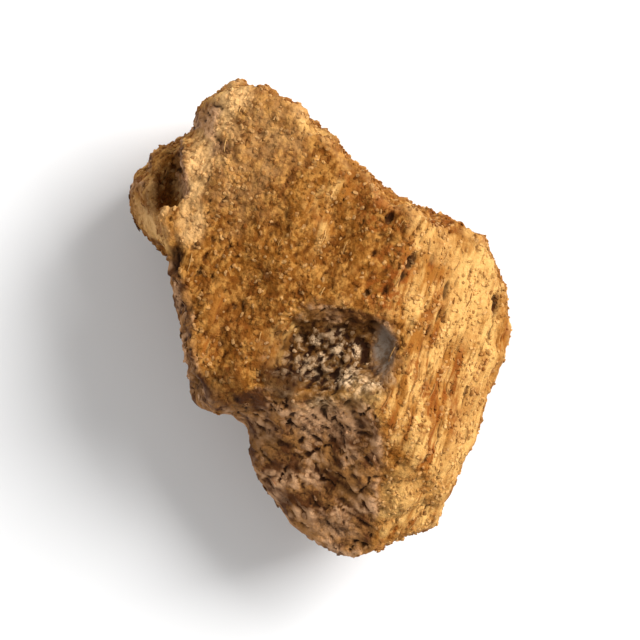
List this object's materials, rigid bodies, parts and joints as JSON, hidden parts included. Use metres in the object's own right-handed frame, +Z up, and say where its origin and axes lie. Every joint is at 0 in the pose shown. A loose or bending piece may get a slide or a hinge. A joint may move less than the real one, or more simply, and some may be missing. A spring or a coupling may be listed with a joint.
{
  "type": "gentian root chip",
  "caption": "Irregular chip of dried root with a cut top, a split side, a wrinkled bark flank with a lobe, and a small sunken scar; it lies on its flat underside.",
  "frame": {"origin": "on the surface that the chip lies on, under the middle of its box", "axes": "+Z up from that surface, +Y along the chip towards its pointed far corner, +X towards the split side"},
  "size_m": [0.0094, 0.0116, 0.0058],
  "materials": {
    "root": "matt, granular and dry, tan on the cut faces, paler on the split face, dark brown on the bark and in the scar"
  },
  "bodies": {
    "root": {"gentian_root_chip": "root"}
  },
  "joints": []
}
